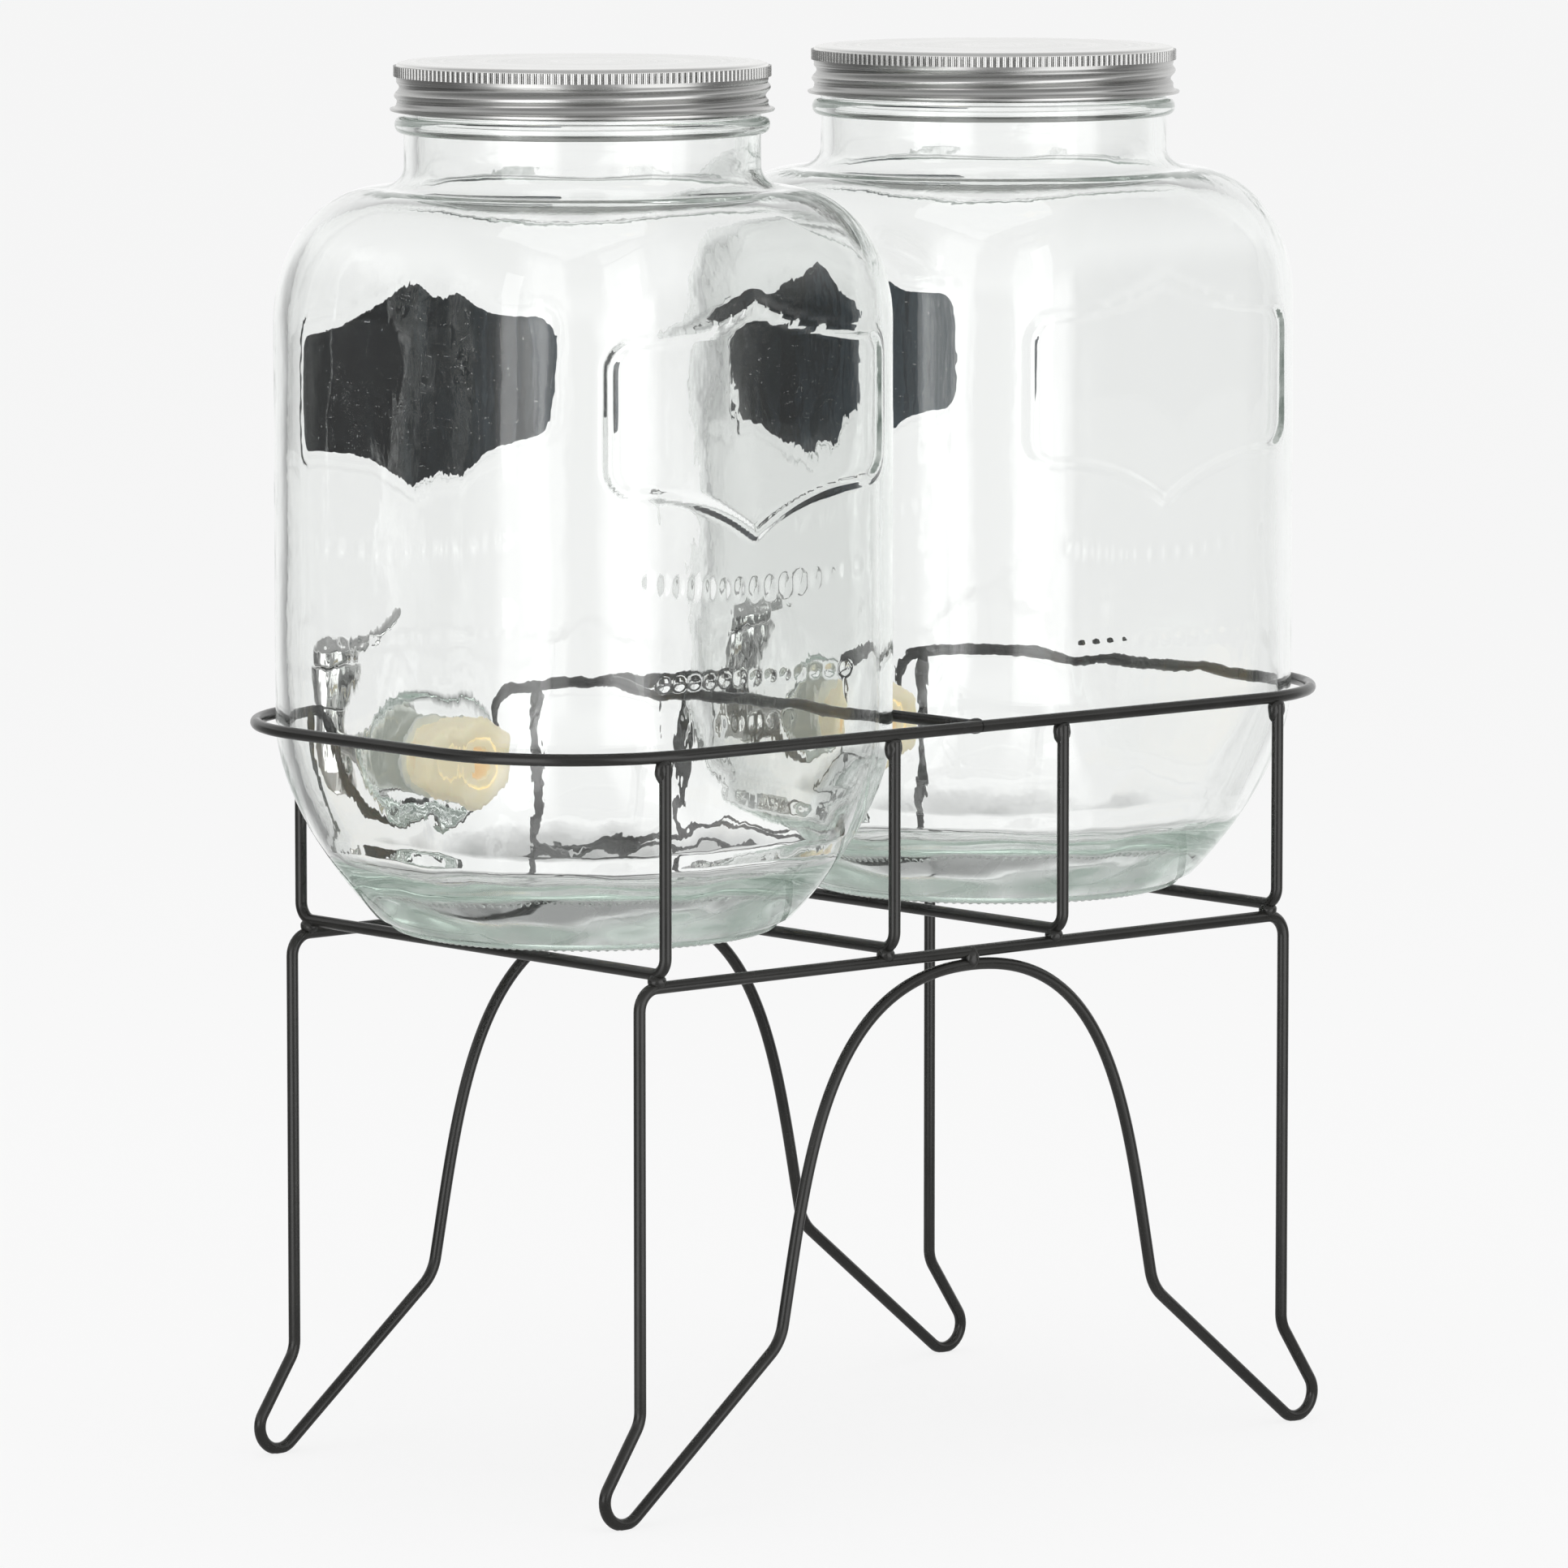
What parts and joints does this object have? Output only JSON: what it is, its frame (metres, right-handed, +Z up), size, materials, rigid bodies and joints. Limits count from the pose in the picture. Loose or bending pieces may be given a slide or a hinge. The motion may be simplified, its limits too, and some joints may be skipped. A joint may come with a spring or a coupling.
{
  "type": "beverage dispenser",
  "caption": "Twin beverage dispenser: square glass jars with screw lids, embossed shields and lever taps, side by side in a welded wire stand.",
  "frame": {"origin": "on the surface that the feet stand on, under the middle of the whole object", "axes": "+Z up, the taps face -Y, the jars stand side by side along X, with jar_right at +X"},
  "size_m": [0.3344, 0.218, 0.4222],
  "materials": {
    "wire": "satin black coating on steel wire",
    "glass": "clear moulded glass with a faint green edge",
    "chalk": "matt slate chalkboard",
    "lid": "satin spun",
    "liner": "soft white liner",
    "chrome": "polished",
    "nut": "natural cream plastic",
    "seal": "grey silicone",
    "plug": "moulded white"
  },
  "bodies": {
    "stand": {"side_frame_front": "wire", "side_frame_rear": "wire", "cradle_wire_1": "wire", "cradle_wire_2": "wire", "cradle_wire_3": "wire", "cradle_wire_4": "wire", "top_hoop_right": "wire", "top_hoop_left": "wire", "divider_bar": "wire"},
    "jar_right": {"jar_glass_right": "glass", "chalk_panel_right": "chalk", "tap_outer_washer_right": "seal", "tap_inner_washer_right": "seal", "tap_nut_right": "nut", "tap_body_right": "chrome", "tap_cap_right": "chrome"},
    "liner_right": {"lid_liner_right": "liner"},
    "lid_right": {"lid_shell_right": "lid"},
    "valve_right": {"tap_plug_right": "plug", "plug_seal_right": "seal", "tap_lever_right": "chrome"},
    "jar_left": {"jar_glass_left": "glass", "chalk_panel_left": "chalk", "tap_outer_washer_left": "seal", "tap_inner_washer_left": "seal", "tap_nut_left": "nut", "tap_body_left": "chrome", "tap_cap_left": "chrome"},
    "liner_left": {"lid_liner_left": "liner"},
    "lid_left": {"lid_shell_left": "lid"},
    "valve_left": {"tap_plug_left": "plug", "plug_seal_left": "seal", "tap_lever_left": "chrome"}
  },
  "joints": [
    {"name": "jar_lift_right", "type": "slide", "parent": "stand", "child": "jar_right", "axis": [0, 0, 1], "range_m": [0, 0.075]},
    {"name": "lid_rise_right", "type": "slide", "parent": "jar_right", "child": "liner_right", "axis": [0, 0, 1], "range_m": [0, 0.0153]},
    {"name": "lid_turn_right", "type": "hinge", "parent": "liner_right", "child": "lid_right", "pos_m": [0.082, 0.0222, 0.4222], "axis": [0, 0, 1], "range_deg": [0, 1080]},
    {"name": "valve_turn_right", "type": "hinge", "parent": "jar_right", "child": "valve_right", "pos_m": [0.082, -0.1003, 0.2074], "axis": [0, 0, 1], "range_deg": [0, 90]},
    {"name": "jar_lift_left", "type": "slide", "parent": "stand", "child": "jar_left", "axis": [0, 0, 1], "range_m": [0, 0.075]},
    {"name": "lid_rise_left", "type": "slide", "parent": "jar_left", "child": "liner_left", "axis": [0, 0, 1], "range_m": [0, 0.0153]},
    {"name": "lid_turn_left", "type": "hinge", "parent": "liner_left", "child": "lid_left", "pos_m": [-0.082, 0.0222, 0.4222], "axis": [0, 0, 1], "range_deg": [0, 1080]},
    {"name": "valve_turn_left", "type": "hinge", "parent": "jar_left", "child": "valve_left", "pos_m": [-0.082, -0.1003, 0.2074], "axis": [0, 0, 1], "range_deg": [0, 90]}
  ],
  "couplings": [
    {"joint": "lid_rise_right", "follows": "lid_turn_right", "m_per_rad": 0.00080851},
    {"joint": "lid_rise_left", "follows": "lid_turn_left", "m_per_rad": 0.00080851}
  ]
}
